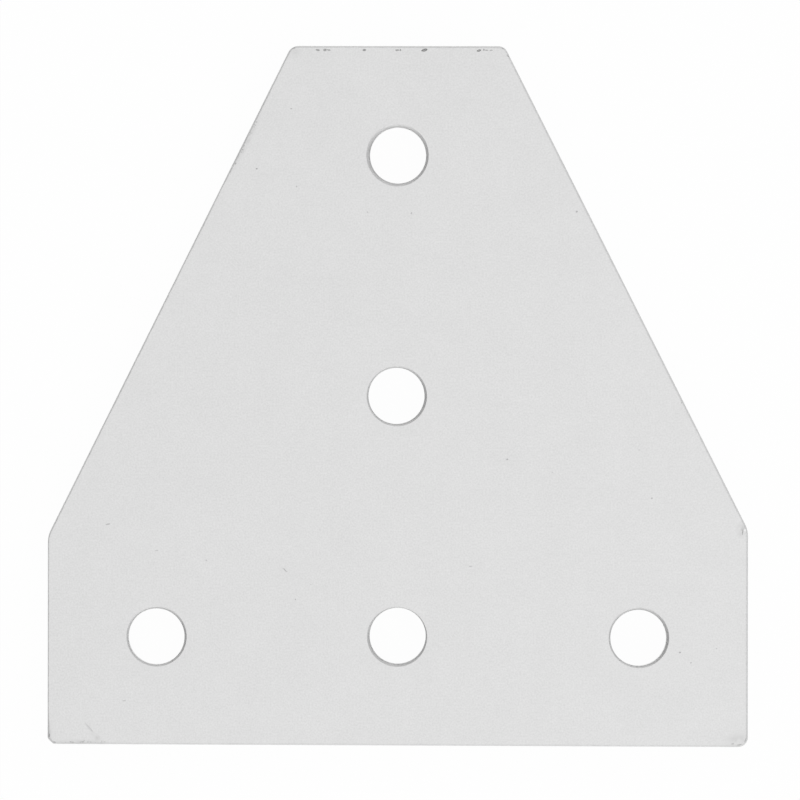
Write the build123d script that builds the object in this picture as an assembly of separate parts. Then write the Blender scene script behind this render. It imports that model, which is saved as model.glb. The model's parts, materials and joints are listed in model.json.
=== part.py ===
from build123d import *
import os

# A flat tee-shaped joining plate for slotted aluminium framing. One screw goes through each hole:
# three holes run across the wide foot, on the rail, and two more run up the narrow stem, on the
# post that meets it. The plate lies with its back face on z = 0 and its narrow end towards +Y.
# The origin is the middle hole of the cross row, at the back face. All sizes are in millimetres.

# Plate stock
thickness = 5.0

# Holes, all alike and at one pitch along both rows, and clear of a 6 mm screw
hole_pitch = 30.0
hole_d = 7.0
cross_holes = 3  # across the foot
stem_holes = 2  # up the stem, beyond the cross row

# From the centre of the nearest hole to each edge. The blank is sawn, so its foot is not quite
# square to its sides and its two shoulders are not quite level.
top_margin = 13.6
left_margin = 13.55
right_margin = 13.7
left_foot = 13.4
right_foot = 13.7
left_shoulder = 12.55  # up from the cross row to where the left flank starts
right_shoulder = 13.35

# Width of the narrow end, which the two flanks run up to
stem_width = 26.55

# Corners, each one filed by hand to its own size
top_left_round = 1.4
top_right_round = 1.2
shoulder_round = 3.4
right_foot_round = 1.2
left_foot_cut = 0.7  # this one is cut straight across

# Broken edges
rim_round = 0.25  # round the front face
back_break = 0.15  # round the back face and the holes' back mouths
mouth_break = 0.26  # the holes' front mouths
top_mouth_break = 0.37  # the hole at the narrow end, opened wider than the rest


# The six corners of the blank, before they are rounded
half_row = (cross_holes - 1) / 2 * hole_pitch
left = -half_row - left_margin
right = half_row + right_margin
top = stem_holes * hole_pitch + top_margin
corners = {
    "left foot": (left, -left_foot),
    "right foot": (right, -right_foot),
    "right shoulder": (right, right_shoulder),
    "top right": (stem_width / 2, top),
    "top left": (-stem_width / 2, top),
    "left shoulder": (left, left_shoulder),
}
rounds = {
    "right foot": right_foot_round,
    "right shoulder": shoulder_round,
    "top right": top_right_round,
    "top left": top_left_round,
    "left shoulder": shoulder_round,
}

# The holes' centres: the cross row from left to right, then the stem from the row up
cross_row = [(i * hole_pitch - half_row, 0) for i in range(cross_holes)]
stem_row = [(0, i * hole_pitch) for i in range(1, stem_holes + 1)]
holes = cross_row + stem_row


def corner_of(sketch, name):
    """The sketch's vertex at a named corner of the blank."""
    return sketch.vertices().sort_by_distance(corners[name])[0]


def mouth_edge(part, hole, height):
    """The edge of one hole's mouth, on the face at this height."""
    return part.edges().filter_by(GeomType.CIRCLE).sort_by_distance((*hole, height))[0]


with BuildPart() as plate:
    # The blank, sawn and filed
    with BuildSketch() as blank:
        with BuildLine():
            Polyline(*corners.values(), close=True)
        make_face()
        for name, radius in rounds.items():
            fillet(corner_of(blank, name), radius)
        chamfer(corner_of(blank, "left foot"), left_foot_cut)
    extrude(amount=thickness)

    # Its rim, rounded on the front and lightly broken on the back
    fillet(plate.faces().sort_by(Axis.Z)[-1].edges(), rim_round)
    chamfer(plate.faces().sort_by(Axis.Z)[0].edges(), back_break)

    # The holes, drilled through and deburred on both faces
    with Locations(*holes):
        Hole(hole_d / 2)
    for hole in holes:
        front = top_mouth_break if hole == stem_row[-1] else mouth_break
        chamfer(mouth_edge(plate, hole, thickness), front)
        chamfer(mouth_edge(plate, hole, 0), back_break)

os.makedirs("parts", exist_ok=True)
export_step(plate.part, "parts/joining_plate.step")

size = plate.part.bounding_box().size
print("joining plate", round(size.X, 2), "x", round(size.Y, 2), "x", round(size.Z, 2), "mm")
print("volume", round(plate.part.volume), "mm3, solids", len(plate.part.solids()))
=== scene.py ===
# %% [markdown]
# # A tee-shaped joining plate for slotted framing
#
# Workshop frames are bolted up from slotted aluminium profile. Where a post meets a rail, a flat
# plate like this one lies across both and takes a screw at every hole. It is one piece of
# aluminium: sawn to shape, drilled, deburred, bead-blasted and clear-anodised, and then knocked
# about a little. This lesson builds it around its engineering model, which fixes every size that
# matters, and adds what that model leaves out: worn rims, off-centre deburring, nicks, pits,
# scratches and the finish.

# %% Load the frame
import json
import math

import bpy
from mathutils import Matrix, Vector


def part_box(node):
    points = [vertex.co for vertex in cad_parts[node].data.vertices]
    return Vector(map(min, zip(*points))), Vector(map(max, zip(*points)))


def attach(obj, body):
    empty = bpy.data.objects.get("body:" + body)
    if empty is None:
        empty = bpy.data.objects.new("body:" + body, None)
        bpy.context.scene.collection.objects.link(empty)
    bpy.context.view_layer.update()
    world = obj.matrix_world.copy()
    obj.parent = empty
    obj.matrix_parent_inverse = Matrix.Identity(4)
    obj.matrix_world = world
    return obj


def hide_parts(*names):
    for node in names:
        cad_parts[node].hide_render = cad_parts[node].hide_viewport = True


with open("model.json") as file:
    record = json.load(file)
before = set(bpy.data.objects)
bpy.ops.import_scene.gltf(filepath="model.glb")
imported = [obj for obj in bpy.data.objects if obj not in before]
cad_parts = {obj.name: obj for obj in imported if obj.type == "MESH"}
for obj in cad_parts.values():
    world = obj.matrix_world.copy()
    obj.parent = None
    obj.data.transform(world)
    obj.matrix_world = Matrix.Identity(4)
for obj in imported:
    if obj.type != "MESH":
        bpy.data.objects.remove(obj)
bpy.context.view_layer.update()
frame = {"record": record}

# %% [markdown]
# ## What the frame already knows
#
# The engineering model is the source of every size that a screw or a profile depends on, so the
# thickness, the outer edges and the holes are read from it. Only the sizes that it does not
# state are written here, in millimetres, as a maker would mark them on the blank.

# %% Sizes read from the frame
MM = 0.001
low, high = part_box("joining_plate")
thickness = high.z - low.z
bores = {m["name"]: m for m in frame["record"]["mounts"] if m["kind"] == "bore"}
hole_radius = bores["cross_middle"]["dims"]["r_mm"] * MM
hole_at = {name: Vector(m["pos_m"]) for name, m in bores.items()}
print("thickness", round(thickness / MM, 2), "hole radius", round(hole_radius / MM, 2))
print("holes", len(bores))

# %% Sizes marked on the blank
stem_width = 26.55 * MM
left_foot = 13.4 * MM  # from the cross row down to the foot's left end
left_shoulder = 12.55 * MM  # from the cross row up to each shoulder
right_shoulder = 13.35 * MM
back_break = 0.15 * MM
rim = 0.21 * MM  # the worn rim of the front face

# %% [markdown]
# ## Writing node trees as sums
#
# Both the shape and the finish are made of nodes. Placing each node by hand hides the idea
# behind a lot of wiring, so two small classes let the trees be written as ordinary Python.
# `Wire` is one output of a node, and sums on it add the nodes that work them out. `Tree.node`
# adds any other node: its settings go in first, because they can change its sockets.

# %% Wires and trees
class Wire:
    """One output of a node. Python sums on it add Math or Vector Math nodes."""

    def __init__(self, tree, socket):
        self.tree, self.socket = tree, socket

    def joined(self, operation, *values):
        vector = any(isinstance(v, Wire) and v.socket.type == "VECTOR" for v in values)
        kind = "ShaderNodeVectorMath" if vector else "ShaderNodeMath"
        if vector:
            values = [v if isinstance(v, (Wire, tuple)) else (v, v, v) for v in values]
        return self.tree.node(kind, {"operation": operation}, dict(enumerate(values)))

    def __add__(self, other):
        return self.joined("ADD", self, other)

    def __radd__(self, other):
        return self.joined("ADD", other, self)

    def __sub__(self, other):
        return self.joined("SUBTRACT", self, other)

    def __rsub__(self, other):
        return self.joined("SUBTRACT", other, self)

    def __mul__(self, other):
        return self.joined("MULTIPLY", self, other)

    def __rmul__(self, other):
        return self.joined("MULTIPLY", other, self)

    def __truediv__(self, other):
        return self.joined("DIVIDE", self, other)

    def __gt__(self, other):
        return self.joined("GREATER_THAN", self, other)

    def __lt__(self, other):
        return self.joined("LESS_THAN", self, other)

    def to(self, operation, *others):
        """Any other Math or Vector Math operation, such as sine, minimum or cross product."""
        return self.joined(operation, self, *others)


class Tree:
    """A node tree, written one call to a node."""

    def __init__(self, tree):
        self.tree = tree

    def node(self, kind, settings=None, sockets=None, out=0):
        made = self.tree.nodes.new(kind)
        for name, value in (settings or {}).items():
            setattr(made, name, value)
        for name, value in (sockets or {}).items():
            self.feed(made.inputs[name], value)
        return Wire(self, made.outputs[out]) if made.outputs else None

    def feed(self, socket, value):
        """Links wires to a socket, or sets its value."""
        for one in value if isinstance(value, list) else [value]:
            if isinstance(one, Wire):
                self.tree.links.new(one.socket, socket)
            else:
                socket.default_value = one


# %% [markdown]
# ## The outline, as marked out
#
# The blank has six corners. The saw left the shoulders a little out of level, one corner of the
# foot is cut straight across, and the rest are filed round. The tree further on needs only the
# points and how far each is rounded, so the outline is a loop of edges with that number stored
# on its points. Cutting a corner across turns it into two corners that are hardly rounded.

# %% Points of the outline
foot_cut = 0.7 * MM
foot_left = Vector((low.x, -left_foot))
foot_right = Vector((high.x, low.y))
shoulder_right = Vector((high.x, right_shoulder))
top_right = Vector((stem_width / 2, high.y))
top_left = Vector((-stem_width / 2, high.y))
shoulder_left = Vector((low.x, left_shoulder))


def along(start, end, distance):
    """The point this far from start on the way to end."""
    return start + (end - start).normalized() * distance


outline = [  # (place, corner radius), anticlockwise from the foot's cut corner
    (along(foot_left, shoulder_left, foot_cut), 0.45 * MM),
    (along(foot_left, foot_right, foot_cut), 0.45 * MM),
    (foot_right, 1.2 * MM),
    (shoulder_right, 3.4 * MM),
    (top_right, 1.2 * MM),
    (top_left, 1.4 * MM),
    (shoulder_left, 3.4 * MM),
]
print("outline points", len(outline))

# %% Marked-out points as objects
def marked(name, points, edges=(), **numbers):
    """An object of loose points or edges. Each keyword is a number or vector for each point."""
    mesh = bpy.data.meshes.new(name)
    mesh.from_pydata([Vector(p).to_3d() for p in points], edges, [])
    for label, values in numbers.items():
        vector = hasattr(values[0], "__len__")
        layer = mesh.attributes.new(label, "FLOAT_VECTOR" if vector else "FLOAT", "POINT")
        for slot, value in zip(layer.data, values):
            if vector:
                slot.vector = value
            else:
                slot.value = value
    made = bpy.data.objects.new(name, mesh)
    bpy.context.scene.collection.objects.link(made)
    return made


count = len(outline)
blank = marked(
    "blank_outline",
    [place for place, _ in outline],
    [(i, (i + 1) % count) for i in range(count)],
    corner=[corner for _, corner in outline],
)

# %% [markdown]
# ## Drilled and deburred holes
#
# A drill wanders a little from its punch mark, here by up to an eighth of a millimetre, which
# the screws' clearance allows for. Then each mouth is opened with a hand countersink, and
# nobody centres that perfectly either, so each mouth is a cone that sits up to an eighth of a
# millimetre to one side. The hole at the narrow end was opened wider than the rest. Each hole is
# one point that carries the width of its mouth and the shift of its cone.

# %% Hole points
mouths = {  # name: (width of the mouth, shift of its cone from the hole, drift of the drill), mm
    "cross_left": (0.255, (0.01, 0.0), (0.0, 0.0)),
    "cross_middle": (0.245, (-0.07, -0.11), (0.05, 0.11)),
    "cross_right": (0.27, (0.06, 0.01), (0.05, -0.11)),
    "stem_lower": (0.26, (0.04, -0.03), (-0.13, 0.01)),
    "stem_top": (0.39, (-0.07, 0.03), (0.03, -0.03)),
}
hole_marks = marked(
    "hole_marks",
    [hole_at[name].xy + Vector(drift) * MM for name, (_, _, drift) in mouths.items()],
    worn=[width * MM for width, _, _ in mouths.values()],
    shift=[(x * MM, y * MM, 0) for _, (x, y), _ in mouths.values()],
)
print("mouth widths, mm:", {name: width for name, (width, _, _) in mouths.items()})

# %% [markdown]
# ## Knocks, rough stretches and scratches
#
# The plate has been in a box with others. It shows short dashes along the narrow end, where a
# hard edge has dented the rim, a chipped shoulder, some pits in the face and two scratches. A
# bump texture would only shade these, and they would vanish from the side, so each one is cut
# out of the metal: a squashed ball for a knock or a pit, and a thin bar for a scratch.

# %% Single knocks and pits
# The burnished floor of a knock has a paler colour, which is a painted highlight for its glint.
# The crushed finish of dents and pits has a darker colour: the dirt crushed into them, and painted
# shade in their hollows.
BLASTED, SAWN, CUT, CRUSHED_DIRT_PAINTED_SHADE, BURNISHED_PAINTED_GLINT, SCUFFED = range(6)  # finishes, in the order they are made
deep, shallow = 0.10, 0.04
knocks = [  # (x, y, half length, half width, depth), mm, its turn in degrees and its finish
    # dashes just inside the narrow end's rim
    (-10.0, 73.1, 0.26, 0.12, deep, -8, CRUSHED_DIRT_PAINTED_SHADE),
    (-9.1, 73.1, 0.20, 0.16, 0.12, 0, CRUSHED_DIRT_PAINTED_SHADE),
    (-8.65, 73.1, 0.28, 0.09, 0.07, -4, CRUSHED_DIRT_PAINTED_SHADE),
    (-4.2, 73.1, 0.22, 0.13, 0.14, 0, CRUSHED_DIRT_PAINTED_SHADE),
    (-0.2, 73.1, 0.12, 0.13, deep, 0, CRUSHED_DIRT_PAINTED_SHADE),
    (0.0, 73.1, 0.12, 0.10, 0.07, 0, CRUSHED_DIRT_PAINTED_SHADE),
    (0.3, 73.1, 0.12, 0.12, deep, 0, CRUSHED_DIRT_PAINTED_SHADE),
    (3.3, 73.1, 0.40, 0.17, 0.24, 14, CRUSHED_DIRT_PAINTED_SHADE),
    (10.1, 73.05, 0.30, 0.14, 0.16, 16, CRUSHED_DIRT_PAINTED_SHADE),
    (10.7, 73.15, 0.10, 0.15, 0.07, 0, CRUSHED_DIRT_PAINTED_SHADE),
    (11.0, 73.1, 0.22, 0.07, shallow, 0, CRUSHED_DIRT_PAINTED_SHADE),
    (11.6, 73.1, 0.20, 0.07, shallow, 0, CRUSHED_DIRT_PAINTED_SHADE),
    # specks on its two corners
    (-13.0, 73.35, 0.22, 0.13, deep, 20, CRUSHED_DIRT_PAINTED_SHADE),
    (-13.4, 73.0, 0.12, 0.09, shallow, 60, CRUSHED_DIRT_PAINTED_SHADE),
    (13.1, 73.35, 0.20, 0.09, 0.07, -30, CRUSHED_DIRT_PAINTED_SHADE),
    (13.75, 72.4, 0.22, 0.11, 0.10, -62, CRUSHED_DIRT_PAINTED_SHADE),
    # the chipped shoulder on the right, with its bright floor, and a small chip below it; the
    # bright floors' paler colour is a painted highlight
    (43.02, 13.1, 0.38, 0.06, 0.06, 84, CRUSHED_DIRT_PAINTED_SHADE),
    (43.32, 13.25, 0.26, 0.10, 0.03, 88, BURNISHED_PAINTED_GLINT),
    (43.55, 4.3, 0.26, 0.12, 0.08, 90, BURNISHED_PAINTED_GLINT),
    # the foot's corners
    (-42.7, -13.2, 0.24, 0.10, 0.08, -20, CRUSHED_DIRT_PAINTED_SHADE),
    (-43.35, -12.35, 0.24, 0.10, 0.10, 80, CRUSHED_DIRT_PAINTED_SHADE),
    (-40.4, -13.2, 0.12, 0.08, shallow, 0, CRUSHED_DIRT_PAINTED_SHADE),
    (-39.2, -13.15, 0.14, 0.09, 0.05, 0, CRUSHED_DIRT_PAINTED_SHADE),
    (42.7, -13.4, 0.40, 0.07, 0.02, 12, CRUSHED_DIRT_PAINTED_SHADE),
    (43.4, -12.8, 0.40, 0.07, 0.02, 70, CRUSHED_DIRT_PAINTED_SHADE),
    (41.8, -13.3, 0.20, 0.08, shallow, 0, CRUSHED_DIRT_PAINTED_SHADE),
    # pits in the face
    (13.7, 22.1, 0.14, 0.11, shallow, 0, CRUSHED_DIRT_PAINTED_SHADE),
    (31.7, 17.3, 0.10, 0.09, 0.03, 0, CRUSHED_DIRT_PAINTED_SHADE),
    (35.2, -1.9, 0.13, 0.11, shallow, 0, CRUSHED_DIRT_PAINTED_SHADE),
    (36.6, -3.2, 0.11, 0.09, 0.03, 0, CRUSHED_DIRT_PAINTED_SHADE),
    (39.8, -1.4, 0.07, 0.06, 0.02, 0, CRUSHED_DIRT_PAINTED_SHADE),
    (19.3, 20.5, 0.09, 0.08, 0.02, 0, CRUSHED_DIRT_PAINTED_SHADE),
    (9.1, 8.8, 0.22, 0.05, 0.02, 0, CRUSHED_DIRT_PAINTED_SHADE),
    (-14.0, 8.3, 0.42, 0.07, 0.02, -40, CRUSHED_DIRT_PAINTED_SHADE),
    (-12.7, 4.6, 0.10, 0.09, 0.03, 0, CRUSHED_DIRT_PAINTED_SHADE),
    (-10.8, 6.5, 0.07, 0.06, 0.02, 0, CRUSHED_DIRT_PAINTED_SHADE),
    (-36.0, 14.0, 0.36, 0.08, 0.03, 10, CRUSHED_DIRT_PAINTED_SHADE),
    (-23.8, 9.5, 0.10, 0.08, 0.03, 0, CRUSHED_DIRT_PAINTED_SHADE),
    (-34.0, -8.0, 0.22, 0.08, 0.03, 0, CRUSHED_DIRT_PAINTED_SHADE),
    (-30.0, 10.7, 0.26, 0.05, 0.02, 0, CRUSHED_DIRT_PAINTED_SHADE),
    (-17.6, 58.3, 0.10, 0.10, shallow, 0, CRUSHED_DIRT_PAINTED_SHADE),
    (-12.6, 56.1, 0.09, 0.08, 0.03, 0, CRUSHED_DIRT_PAINTED_SHADE),
    (1.7, 52.8, 0.10, 0.08, 0.03, 0, CRUSHED_DIRT_PAINTED_SHADE),
    (-3.8, 52.9, 0.09, 0.08, 0.03, 0, CRUSHED_DIRT_PAINTED_SHADE),
    (-13.3, 65.8, 0.09, 0.08, 0.03, 0, CRUSHED_DIRT_PAINTED_SHADE),
    (35.4, 29.2, 0.10, 0.07, 0.03, 60, CRUSHED_DIRT_PAINTED_SHADE),
    (22.3, 53.0, 0.14, 0.09, 0.05, 60, CRUSHED_DIRT_PAINTED_SHADE),
]
knock_marks = marked(
    "knock_marks",
    [(x * MM, y * MM, thickness) for x, y, *_ in knocks],
    size=[(a * MM, b * MM, d * MM) for _, _, a, b, d, *_ in knocks],
    turn=[math.radians(turn) for *_, turn, _ in knocks],
    finish=[float(finish) for *_, finish in knocks],
)
print("knocks and pits", len(knocks))

# %% Rough stretches and scratches
left_flank_rough = [along(top_left, shoulder_left, d * MM) for d in (10.0, 17.5)]
foot_rough = [along(foot_left, foot_right, d * MM) for d in (1.2, 7.2)]
rough_inset = 0.22 * MM  # how far inside the edge the rough stretches run
rough_points = [
    left_flank_rough[0] + Vector((rough_inset, 0)),
    left_flank_rough[1] + Vector((rough_inset, 0)),
    foot_rough[0] + Vector((0, rough_inset)),
    foot_rough[1] + Vector((0, rough_inset)),
]
rough_marks = marked("rough_marks", [(*p, thickness) for p in rough_points], [(0, 1), (2, 3)])

scratch_lines = [  # the points of each scratch, mm
    [(-39.2, -9.9), (-38.8, -10.9), (-38.1, -11.7), (-37.3, -12.6)],
    [(29.6, 22.6), (30.1, 23.3), (30.5, 24.1)],
]
scratch_points = [(x * MM, y * MM, thickness) for line in scratch_lines for x, y in line]
scratch_edges, first = [], 0
for line in scratch_lines:
    scratch_edges += [(first + i, first + i + 1) for i in range(len(line) - 1)]
    first += len(line)
scratch_marks = marked("scratch_marks", scratch_points, scratch_edges)
print("rough stretches", len(rough_points) // 2, "scratches", len(scratch_lines))

# %% [markdown]
# ## The finishes
#
# All of the plate is one metal, but six things have been done to it. The faces are blasted with
# fine beads, which leaves a grain of about a fifth of a millimetre. The sawn edge keeps faint
# strokes across its thickness under the blasting. The holes and their mouths were cut last, so
# they are smoother and show the tool's rings. Inside a knock the skin is crushed and holds dirt,
# and its darker colour also paints in the shade of the hollow. Where something smooth struck it
# left a burnished floor, whose paler colour is a painted highlight, and a scratch is only scuffed.
# One function makes all six, because they share a colour, a grain and the way light meets them.

# %% Noise and smudges in a material
def distance_of(vector):
    """How long a vector is."""
    made = vector.to("LENGTH")
    return Wire(made.tree, made.socket.node.outputs["Value"])


def dot(vector, other):
    """How far one vector reaches along another."""
    made = vector.to("DOT_PRODUCT", other)
    return Wire(made.tree, made.socket.node.outputs["Value"])


grain_per_mm = 4.4  # the beads' own marks
cloud_per_mm = 1.4
patch_per_mm = 0.3
stroke_per_mm = 6.0


def noise(tree, where, per_mm, detail=1.0):
    """Noise about zero, with this many lumps to the millimetre."""
    made = tree.node(
        "ShaderNodeTexNoise",
        {"noise_dimensions": "3D"},
        {"Vector": where, "Scale": per_mm / MM, "Detail": detail, "Roughness": 0.5},
    )
    return made - 0.5


def smudge(tree, where, x, y, half_length, half_width, turn=0):
    """1 in the middle of a handled patch of the plate, falling softly to 0 at its edge."""
    turned = tree.node(
        "ShaderNodeMapping",
        {"vector_type": "TEXTURE"},
        {
            "Vector": where,
            "Location": (x * MM, y * MM, 0),
            "Rotation": (0, 0, math.radians(turn)),
            "Scale": (half_length * MM, half_width * MM, 1),
        },
    )
    distance = distance_of(turned * (1, 1, 0))
    return (1 - distance).to("MAXIMUM", 0).to("MINIMUM", 1)


# %% [markdown]
# The smudges are where hands and other plates have rubbed the skin darker: the corners, the
# rough stretch of the flank and the chipped shoulder. They are places on the plate, so they are
# read from Object coordinates and stay put whatever the camera does.

# %% The metal
smudges = [  # (x, y, half length, half width, turn in degrees, how dark)
    (-12.9, 72.8, 1.2, 0.8, 20, 0.07),
    (-18.9, 61.4, 4.6, 0.45, 63, 0.10),
    (42.9, 13.4, 1.2, 0.8, 80, 0.14),
    (42.3, -12.8, 2.3, 1.2, 20, 0.08),
    (-37.4, -12.6, 1.3, 0.5, -40, 0.09),
    (-39.6, -13.2, 4.2, 0.45, 0, 0.10),
    (-43.3, -12.0, 1.6, 0.4, 90, 0.08),
]
metal_tone = 0.729
relief = 0.02 * MM  # how deep the grain and tool marks are


def metal(name, tone=metal_tone, roughness=0.5, grain=0.24, lines=None, dirty=False):
    """One finish of the plate. lines is the stretch of its tool marks along each axis."""
    material = bpy.data.materials.new(name)
    material.use_nodes = True
    material.node_tree.nodes.clear()
    tree = Tree(material.node_tree)
    where = tree.node("ShaderNodeTexCoord", out="Object")
    fine = noise(tree, where, grain_per_mm)
    coarse = noise(tree, where, patch_per_mm, detail=3.0)
    middling = noise(tree, where, cloud_per_mm)
    shade = 1 + fine * grain + middling * 0.05 + coarse * 0.045
    height = fine
    if lines:
        stretched = where * lines
        strokes = noise(tree, stretched, stroke_per_mm, detail=2.0)
        height = height * 0.5 + strokes
        shade = shade + strokes * 0.08
    if dirty:
        on_front = tree.node("ShaderNodeSeparateXYZ", {}, {0: where}, out="Z") > thickness / 2
        for x, y, length, width, turn, dark in smudges:
            patch = smudge(tree, where, x, y, length, width, turn) * on_front
            shade = shade - patch * dark * (1 + fine * 4 + middling * 4)
    channels = {channel: shade * tone for channel in ("Red", "Green", "Blue")}
    tint = tree.node("ShaderNodeCombineColor", {}, channels)
    heights = {"Strength": 0.5, "Distance": relief, "Height": height}
    bump = tree.node("ShaderNodeBump", {}, heights)
    skin = tree.node(
        "ShaderNodeBsdfPrincipled",
        {},
        {
            "Base Color": tint,
            "Metallic": 1.0,
            "Roughness": roughness + fine * 0.1,
            "Normal": bump,
        },
    )
    tree.node("ShaderNodeOutputMaterial", {}, {"Surface": skin})
    return material


finishes = [
    metal("beadblasted_skin", dirty=True),
    metal("sawn_edge", roughness=0.45, lines=(1, 1, 0.15)),
    metal("cut_bore", tone=0.75, roughness=0.35, grain=0.03, lines=(0.3, 0.3, 2)),
    # darker tone in the dents and pits: dirt held there, and painted shade in the hollows
    metal("crushed_skin_dirt_painted_shade", tone=0.58, roughness=0.55, grain=0.2),
    # smoother, paler floor: the lower roughness is the burnishing, the paler tone a painted
    # highlight
    metal("burnished_floor_painted_glint", tone=0.82, roughness=0.4, grain=0.1),
    metal("scuffed_skin", tone=0.65, roughness=0.5),
]
print("finishes", [material.name for material in finishes])

# %% [markdown]
# ## The plate, as a rule
#
# The whole surface follows one rule: take every edge of the front face, outer edge and holes
# alike, and drop a wall from it. So the tree treats them all as closed curves. Each is swept
# with a short ladder of steps. The first steps round the rim or cut the mouth's cone, and the
# last two run down the wall and across the broken back edge. A hole is the same thing as the
# outline run the other way round, which keeps the metal on the same side of both.
#
# Modelling the plate by hand and bevelling it would also work, but then a rim that widens along
# one edge and five off-centre cones would each be a special case.

# %% A new tree with named inputs
def geometry_tree(name, inputs):
    """A Geometry Nodes tree. inputs gives each input's label, socket type and first value."""
    made = bpy.data.node_groups.new(name, "GeometryNodeTree")
    face = made.interface
    face.new_socket("Geometry", in_out="INPUT", socket_type="NodeSocketGeometry")
    for label, (kind, value) in inputs.items():
        socket = face.new_socket(label, in_out="INPUT", socket_type=kind)
        if value is not None:
            socket.default_value = value
    face.new_socket("Geometry", in_out="OUTPUT", socket_type="NodeSocketGeometry")
    tree = Tree(made)
    start = made.nodes.new("NodeGroupInput")
    return tree, {s.name: Wire(tree, s) for s in start.outputs if s.name}


def stored(tree, geometry, label, value, kind="FLOAT", domain="POINT"):
    """The geometry with a named number or vector kept on it."""
    settings = {"data_type": kind, "domain": domain}
    sockets = {"Geometry": geometry, "Name": label, "Value": value}
    return tree.node("GeometryNodeStoreNamedAttribute", settings, sockets)


def kept(tree, label, kind="FLOAT"):
    """Reads a named number or vector back."""
    return tree.node("GeometryNodeInputNamedAttribute", {"data_type": kind}, {"Name": label})


# %% Where the rim is worn
worn_places = [  # (x, y, how far it reaches, how much wider the rim is), mm
    (6.0, 73.6, 8.0, 0.03),
    (-18.6, 62.1, 6.0, 0.04),
    (-43.0, -12.5, 3.0, 0.06),
    (-39.0, -13.4, 5.0, 0.06),
    (-43.5, 0.0, 14.0, -0.06),  # the one place where it is narrower
    (43.7, 0.0, 15.0, 0.11),
    (36.0, 28.7, 18.0, 0.10),
    (21.0, 58.3, 18.0, 0.10),
]


# %% Tree of the plate: the curves to sweep
LENGTH, OBJECT, WHOLE = "NodeSocketFloat", "NodeSocketObject", "NodeSocketInt"
plate_tree, given = geometry_tree(
    "plate_tree",
    {
        "Thickness": (LENGTH, thickness),
        "Rim": (LENGTH, rim),
        "Rim Depth": (LENGTH, 0.22 * MM),
        "Mouth Flatness": (LENGTH, 0.9),
        "Wear": (LENGTH, 1.0),
        "Edge Step": (LENGTH, 0.5 * MM),
        "Hole Radius": (LENGTH, hole_radius),
        "Back Break": (LENGTH, back_break),
        "Rim Steps": (WHOLE, 5),
        "Arc Steps": (WHOLE, 12),
        "Round Steps": (WHOLE, 96),
        "Holes": (OBJECT, None),
        "Knocks": (OBJECT, None),
        "Rough": (OBJECT, None),
        "Scratches": (OBJECT, None),
        "Seed": (WHOLE, 7),
    },
)
t = plate_tree
edge_curve = t.node("GeometryNodeMeshToCurve", {}, {"Mesh": given["Geometry"]})
edge_curve = t.node(
    "GeometryNodeFilletCurve",
    {"mode": "POLY"},
    {
        "Curve": edge_curve,
        "Radius": kept(t, "corner"),
        "Count": given["Arc Steps"],
        "Limit Radius": True,
    },
)
here = t.node("GeometryNodeInputPosition")
following = t.node("GeometryNodeOffsetPointInCurve", {}, {"Offset": 1}, out="Point Index")
there = t.node(
    "GeometryNodeFieldAtIndex", {"data_type": "FLOAT_VECTOR"}, {"Index": following, "Value": here}
)
stretch = distance_of(there - here)
edge_curve = t.node(
    "GeometryNodeSubdivideCurve", {},
    {"Curve": edge_curve, "Cuts": (stretch / given["Edge Step"]).to("FLOOR")},
)
wear_per_mm = 1.2
wear_noise = {"Vector": here, "Scale": wear_per_mm / MM, "Detail": 2.0}
wear = t.node("ShaderNodeTexNoise", {}, wear_noise) - 0.5
width = given["Rim"] * (1 + wear * given["Wear"])
fade = 0.3  # the outer share of a place's reach, over which its wear fades in
for x, y, reach, extra in worn_places:
    near = (1 - distance_of(here - (x * MM, y * MM, 0)) / (reach * MM)).to("MAXIMUM", 0)
    width = width + near.to("MINIMUM", fade) * (extra / fade * MM)
edge_curve = stored(t, edge_curve, "worn", width)


def made_of(tree, which):
    """The geometry of another object, in its own place."""
    settings = {"transform_space": "ORIGINAL"}
    return tree.node("GeometryNodeObjectInfo", settings, {"Object": which}, out="Geometry")


ring = t.node(
    "GeometryNodeCurvePrimitiveCircle", {"mode": "RADIUS"},
    {"Resolution": given["Round Steps"], "Radius": given["Hole Radius"]},
)
holes = made_of(t, given["Holes"])
rings = t.node("GeometryNodeInstanceOnPoints", {}, {"Points": holes, "Instance": ring})
rings = t.node("GeometryNodeRealizeInstances", {}, {"Geometry": rings})
rings = t.node("GeometryNodeReverseCurve", {}, {"Curve": rings})
rings = stored(t, rings, "cone", 1.0)
edges = t.node("GeometryNodeJoinGeometry", {}, {"Geometry": [edge_curve, rings]})

# %% Tree of the plate: the walls
UP = (0, 0, 1)
tangent = t.node("GeometryNodeInputTangent")
edges = stored(t, edges, "inward", 0 - tangent.to("CROSS_PRODUCT", UP), "FLOAT_VECTOR")
edges = stored(t, edges, "path", t.node("GeometryNodeInputPosition"), "FLOAT_VECTOR")
rungs = {"Count": given["Rim Steps"] + 3, "Offset": (0, 0, -MM)}
ladder = t.node("GeometryNodeMeshLine", {}, rungs)
ladder = t.node("GeometryNodeMeshToCurve", {}, {"Mesh": ladder})
ladder = stored(t, ladder, "step", t.node("GeometryNodeInputIndex"))
walls = t.node("GeometryNodeCurveToMesh", {}, {"Curve": edges, "Profile Curve": ladder})

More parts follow.
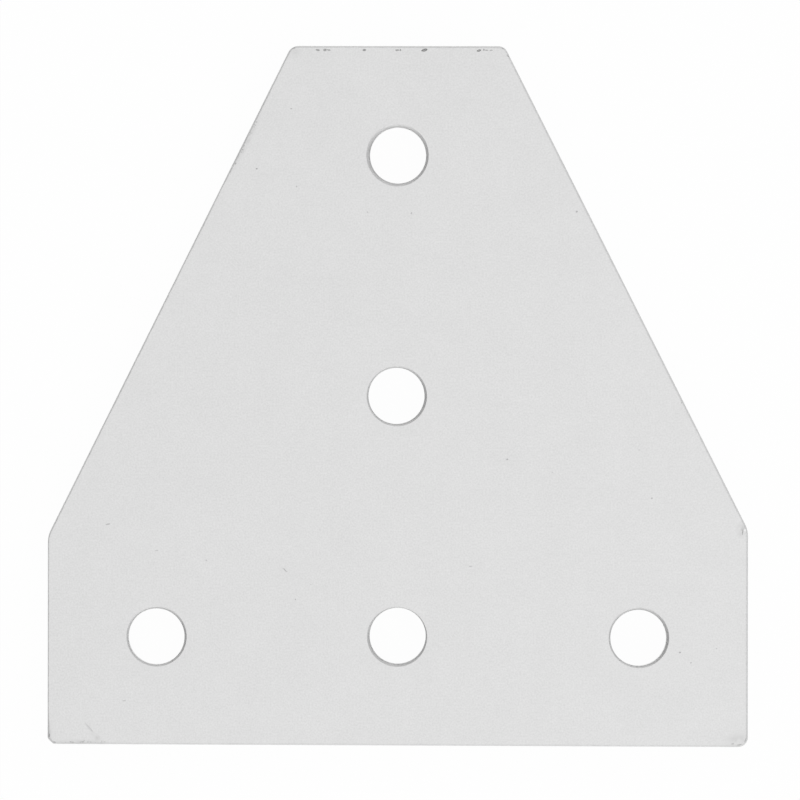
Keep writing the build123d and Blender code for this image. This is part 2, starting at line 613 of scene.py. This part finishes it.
step, worn, cone = (kept(t, label) for label in ("step", "worn", "cone"))
inward, path, shift = (kept(t, label, "FLOAT_VECTOR") for label in ("inward", "path", "shift"))
share = (step / given["Rim Steps"]).to("MINIMUM", 1.0)
quarter = share * (math.pi / 2)
rounded_in, rounded_down = 1 - quarter.to("SINE"), 1 - quarter.to("COSINE")
flatness = cone * given["Mouth Flatness"]
in_share = rounded_in + ((1 - share) - rounded_in) * flatness
down_share = rounded_down + (share - rounded_down) * flatness
below = step > given["Rim Steps"] + 0.5  # on the rung at the foot of the wall, or past it
bottom = step > given["Rim Steps"] + 1.5  # on the last rung, across the broken back edge
inset = worn * in_share + given["Back Break"] * bottom
mouth_depth = worn + dot(shift, inward)  # a countersink's slope is the same all round
drop = mouth_depth * cone + given["Rim Depth"] * (1 - cone)
above = given["Thickness"] - drop * down_share
level = above * (1 - below) + given["Back Break"] * (below - bottom)
up = t.node("ShaderNodeCombineXYZ", {}, {"Z": level})
wall_place = path * (1, 1, 0) + inward * inset + shift * in_share + up
walls = t.node("GeometryNodeSetPosition", {}, {"Geometry": walls, "Position": wall_place})

# %% Tree of the plate: its two faces
on_wall = (step > given["Rim Steps"] + 0.2) * (step < given["Rim Steps"] + 1.2)
wall_finish = cone * CUT + (1 - cone) * on_wall * SAWN
walls = stored(t, walls, "finish", wall_finish, "FLOAT", "FACE")
walls = t.node("GeometryNodeSetShadeSmooth", {}, {"Geometry": walls, "Shade Smooth": True})


def face(tree, place, level, turned_over):
    """A flat face between the outline and the holes."""
    rim_line = tree.node("GeometryNodeSetPosition", {}, {"Geometry": edges, "Position": place})
    made = tree.node("GeometryNodeFillCurve", {"mode": "TRIANGLES"}, {"Curve": rim_line})
    lift = tree.node("ShaderNodeCombineXYZ", {}, {"Z": level})
    flat_place = tree.node("GeometryNodeInputPosition") * (1, 1, 0) + lift
    made = tree.node("GeometryNodeSetPosition", {}, {"Geometry": made, "Position": flat_place})
    if turned_over:
        made = tree.node("GeometryNodeFlipFaces", {}, {"Mesh": made})
    return tree.node("GeometryNodeSetShadeSmooth", {}, {"Geometry": made, "Shade Smooth": False})


front = face(t, path * (1, 1, 0) + inward * worn + shift, given["Thickness"], False)
back = face(t, path * (1, 1, 0) + inward * given["Back Break"], 0.0, True)
solid = t.node("GeometryNodeJoinGeometry", {}, {"Geometry": [walls, front, back]})
seam = 0.002 * MM
solid = t.node("GeometryNodeMergeByDistance", {}, {"Geometry": solid, "Distance": seam})
bend = t.node("GeometryNodeInputMeshEdgeAngle", out="Unsigned Angle")
crease = math.radians(30)
solid = stored(t, solid, "sharp_edge", bend > crease, "BOOLEAN", "EDGE")

# %% [markdown]
# ## Cutting the knocks
#
# Every knock is the same small ball, put on each mark and squashed to its size. The rough
# stretches get a row of smaller ones, strewn with a fixed seed so that the plate comes out the
# same each time. The balls are then roughened a little, because a dent is never a clean bowl,
# and everything is taken out of the solid in one cut. The balls bring their own finish with
# them, so the crushed skin, darker with dirt and painted shade, and the burnished floors, paler
# with a painted highlight, appear exactly where the metal was cut.

# %% Tree of the plate: the cutters
ball = t.node("GeometryNodeMeshIcoSphere", {}, {"Radius": 1.0, "Subdivisions": 2})


def struck(tree, points, turn, size):
    """A ball at each point, turned about the upright and squashed to its size."""
    turned = tree.node("ShaderNodeCombineXYZ", {}, {"Z": turn})
    sockets = {"Points": points, "Instance": ball, "Rotation": turned, "Scale": size}
    return tree.node("GeometryNodeInstanceOnPoints", {}, sockets)


def chance(tree, low_end, high_end, seed, kind="FLOAT"):
    """A random number or vector for each point."""
    node = tree.node("FunctionNodeRandomValue", {"data_type": kind}).socket.node
    slot = 0 if kind == "FLOAT_VECTOR" else 1
    lows = [s for s in node.inputs if s.name == "Min"]
    highs = [s for s in node.inputs if s.name == "Max"]
    lows[slot].default_value, highs[slot].default_value = low_end, high_end
    tree.feed(node.inputs["Seed"], seed)
    return Wire(tree, [s for s in node.outputs if s.name == "Value"][slot])


knock_points = made_of(t, given["Knocks"])
single = struck(t, knock_points, kept(t, "turn"), kept(t, "size", "FLOAT_VECTOR"))
rough_gap, rough_stray = 0.34 * MM, 0.2 * MM
rough_line = t.node("GeometryNodeMeshToCurve", {}, {"Mesh": made_of(t, given["Rough"])})
rough_dots = t.node(
    "GeometryNodeCurveToPoints", {"mode": "LENGTH"}, {"Curve": rough_line, "Length": rough_gap}
)
strewn = chance(
    t, (-rough_stray, -rough_stray, 0), (rough_stray, rough_stray, 0), given["Seed"], "FLOAT_VECTOR"
)
rough_dots = t.node("GeometryNodeSetPosition", {}, {"Geometry": rough_dots, "Offset": strewn})
smallest = (0.05 * MM, 0.04 * MM, 0.02 * MM)
largest = (0.12 * MM, 0.08 * MM, 0.05 * MM)
rough_size = chance(t, smallest, largest, given["Seed"] + 1, "FLOAT_VECTOR")
rough = struck(t, rough_dots, chance(t, 0.0, math.pi, given["Seed"] + 2), rough_size)
# the rough stretches' dents take the same darker crushed colour, dirt and painted shade
rough = stored(t, rough, "finish", float(CRUSHED_DIRT_PAINTED_SHADE), "FLOAT", "INSTANCE")
balls = t.node("GeometryNodeJoinGeometry", {}, {"Geometry": [single, rough]})
balls = t.node("GeometryNodeRealizeInstances", {}, {"Geometry": balls})

bar_line = t.node("GeometryNodeMeshToCurve", {}, {"Mesh": made_of(t, given["Scratches"])})
smooth = {"spline_type": "CATMULL_ROM"}
bar_line = t.node("GeometryNodeCurveSplineType", smooth, {"Curve": bar_line})
bar_line = t.node("GeometryNodeResampleCurve", {}, {"Curve": bar_line, "Count": 14})
way = t.node("GeometryNodeSplineParameter", out="Factor")
taper = (way * math.pi).to("SINE") * 0.45 * MM + 0.1 * MM
above_face = 0.965  # of the bar's radius, so that only its lowest sliver cuts the face
lift = t.node("ShaderNodeCombineXYZ", {}, {"Z": taper * above_face})
bar_line = t.node("GeometryNodeSetPosition", {}, {"Geometry": bar_line, "Offset": lift})
bar_end = t.node(
    "GeometryNodeCurvePrimitiveCircle", {"mode": "RADIUS"}, {"Resolution": 32, "Radius": 1.0}
)
bars = t.node(
    "GeometryNodeCurveToMesh", {},
    {"Curve": bar_line, "Profile Curve": bar_end, "Scale": taper, "Fill Caps": True},
)

dent_per_mm, dent_depth = 4, 0.12 * MM  # how the balls are roughened
dents = {"Vector": t.node("GeometryNodeInputPosition"), "Scale": dent_per_mm / MM}
uneven = t.node("ShaderNodeTexNoise", {}, dents, out="Color")
uneven = t.node("ShaderNodeVectorMath", {"operation": "SUBTRACT"}, {0: uneven, 1: (0.5, 0.5, 0.5)})
balls = t.node("GeometryNodeSetPosition", {}, {"Geometry": balls, "Offset": uneven * dent_depth})
bars = stored(t, bars, "finish", float(SCUFFED))
cutters = t.node("GeometryNodeJoinGeometry", {}, {"Geometry": [balls, bars]})
cutters = stored(t, cutters, "finish", kept(t, "finish"), "FLOAT", "FACE")

# %% Tree of the plate: the cut and the finishes
cut = t.node(
    "GeometryNodeMeshBoolean", {"operation": "DIFFERENCE", "solver": "EXACT"},
    {"Mesh 1": solid, "Mesh 2": cutters, "Self Intersection": True},
)
done = t.node("GeometryNodeRealizeInstances", {}, {"Geometry": cut})
finish = kept(t, "finish")
for number, material in enumerate(finishes):
    chosen = (finish > number - 0.5) * (finish < number + 0.5)
    sockets = {"Geometry": done, "Selection": chosen, "Material": material}
    done = t.node("GeometryNodeSetMaterial", {}, sockets)
end = t.tree.nodes.new("NodeGroupOutput")
t.feed(end.inputs[0], done)
print("nodes in the plate's tree", len(t.tree.nodes))

# %% Growing the plate
grown = blank.modifiers.new("plate", "NODES")
grown.node_group = t.tree
sockets = t.tree.interface.items_tree
identifiers = {s.name: s.identifier for s in sockets if s.in_out == "INPUT"}
links = {
    "Holes": hole_marks,
    "Knocks": knock_marks,
    "Rough": rough_marks,
    "Scratches": scratch_marks,
}
for label, other in links.items():
    grown[identifiers[label]] = other
evaluated = blank.evaluated_get(bpy.context.evaluated_depsgraph_get())
plate_mesh = bpy.data.meshes.new_from_object(evaluated)
blank.modifiers.remove(grown)
for other in (blank, *links.values()):
    bpy.data.objects.remove(other)
tee_plate = bpy.data.objects.new("tee_plate", plate_mesh)
bpy.context.scene.collection.objects.link(tee_plate)

# %% Measuring the plate
import bmesh

measured = bmesh.new()
measured.from_mesh(plate_mesh)
open_edges = sum(not e.is_manifold for e in measured.edges)
volume = measured.calc_volume(signed=True) / MM**3
measured.free()
print("plate faces", len(plate_mesh.polygons), "open edges", open_edges)
print("volume, mm3:", round(volume))

# %% The plate rides on the frame
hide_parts("joining_plate")
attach(tee_plate, "root")

# %% [markdown]
# ## The studio
#
# A plain white table under soft light. Most of the light is one smooth sky, which is a little
# paler at the front and the right than at the back and the left, so that rims that face one way
# are paler than rims that face the other. A broad softbox overhead lifts the flat face. It is
# large on purpose: a small lamp would put hard bright lines on the right-hand rims.

# %% Floor
floor_mesh = bpy.data.meshes.new("floor")
reach = 4.0  # metres each way
floor_level = low.z - 0.02 * MM
sides = [(-reach, -reach), (reach, -reach), (reach, reach), (-reach, reach)]
floor_mesh.from_pydata([(x, y, floor_level) for x, y in sides], [], [(0, 1, 2, 3)])
floor = bpy.data.objects.new("floor", floor_mesh)
bpy.context.scene.collection.objects.link(floor)

paper = bpy.data.materials.new("white_paper")
paper.use_nodes = True
paper.node_tree.nodes.clear()
p = Tree(paper.node_tree)
seen = p.node("ShaderNodeLightPath", out="Is Camera Ray")
mirrored = p.node("ShaderNodeLightPath", out="Is Glossy Ray")
through = p.node("ShaderNodeLightPath", out="Is Transmission Ray")
white_share = 0.97  # the rest is lit, and keeps the plate's shadow
lit = p.node("ShaderNodeBsdfDiffuse", {}, {"Color": (0.9, 0.9, 0.9, 1)})
glow = p.node("ShaderNodeEmission", {}, {"Color": (1, 1, 1, 1), "Strength": 1.0})
blend = seen.to("MAXIMUM", mirrored).to("MAXIMUM", through) * white_share
under = p.node("ShaderNodeNewGeometry", out="Backfacing")
clear = p.node("ShaderNodeBsdfTransparent")
mixed = p.node("ShaderNodeMixShader", {}, {0: blend, 1: lit, 2: glow})
mixed = p.node("ShaderNodeMixShader", {}, {0: under, 1: mixed, 2: clear})
p.node("ShaderNodeOutputMaterial", {}, {"Surface": mixed})
floor_mesh.materials.append(paper)

# %% Sky
world = bpy.data.worlds.new("studio")
bpy.context.scene.world = world
world.use_nodes = True
world.node_tree.nodes.clear()
w = Tree(world.node_tree)
way_out = w.node("ShaderNodeTexCoord", out="Generated")
sky_level = 0.77
sky_lean = (0.25, -0.21, 0)  # near the horizon it is paler at the front and the right
sky_across = 0.21  # and paler front and back than at the sides
across = dot(way_out * way_out, (-1, 1, 0))
rise = w.node("ShaderNodeSeparateXYZ", {}, {0: way_out}, out="Z").to("ABSOLUTE")
level_of = sky_level + dot(way_out, sky_lean) * (1 - rise) + across * sky_across
sky = w.node("ShaderNodeBackground", {}, {"Color": (1, 1, 1, 1), "Strength": level_of})
w.node("ShaderNodeOutputWorld", {}, {"Surface": sky})

# %% Softbox
softbox_side, softbox_level = 0.7, 0.65
softbox_data = bpy.data.lights.new("softbox", "AREA")
softbox_data.shape = "SQUARE"
softbox_data.size = softbox_side
softbox_data.energy = softbox_level * math.pi * softbox_side**2
softbox = bpy.data.objects.new("softbox", softbox_data)
softbox.location = (0.15, -0.08, 0.90)  # metres; an area light faces down unless it is turned
bpy.context.scene.collection.objects.link(softbox)
print("softbox watts", round(softbox_data.energy, 2))

# %% [markdown]
# ## The camera
#
# The plate is seen square from above through a long lens, so the holes show no walls. The lens
# is worked out from how much of the table it takes in.

# %% Camera
view_width = 99.68 * MM
camera_height = 2.2  # metres above the front face
aim = Vector((0.31, 29.5)) * MM
camera_turn = math.radians(0.07)
sensor_width = 36
camera_data = bpy.data.cameras.new("camera")
camera_data.sensor_width = sensor_width
camera_data.lens = sensor_width * camera_height / view_width
camera_data.clip_end = 20
camera = bpy.data.objects.new("camera", camera_data)
camera.location = (aim.x, aim.y, thickness + camera_height)
camera.rotation_euler = (0, 0, camera_turn)
bpy.context.scene.collection.objects.link(camera)
bpy.context.scene.camera = camera
bpy.context.scene.view_settings.view_transform = "Standard"
print("lens", round(camera_data.lens))
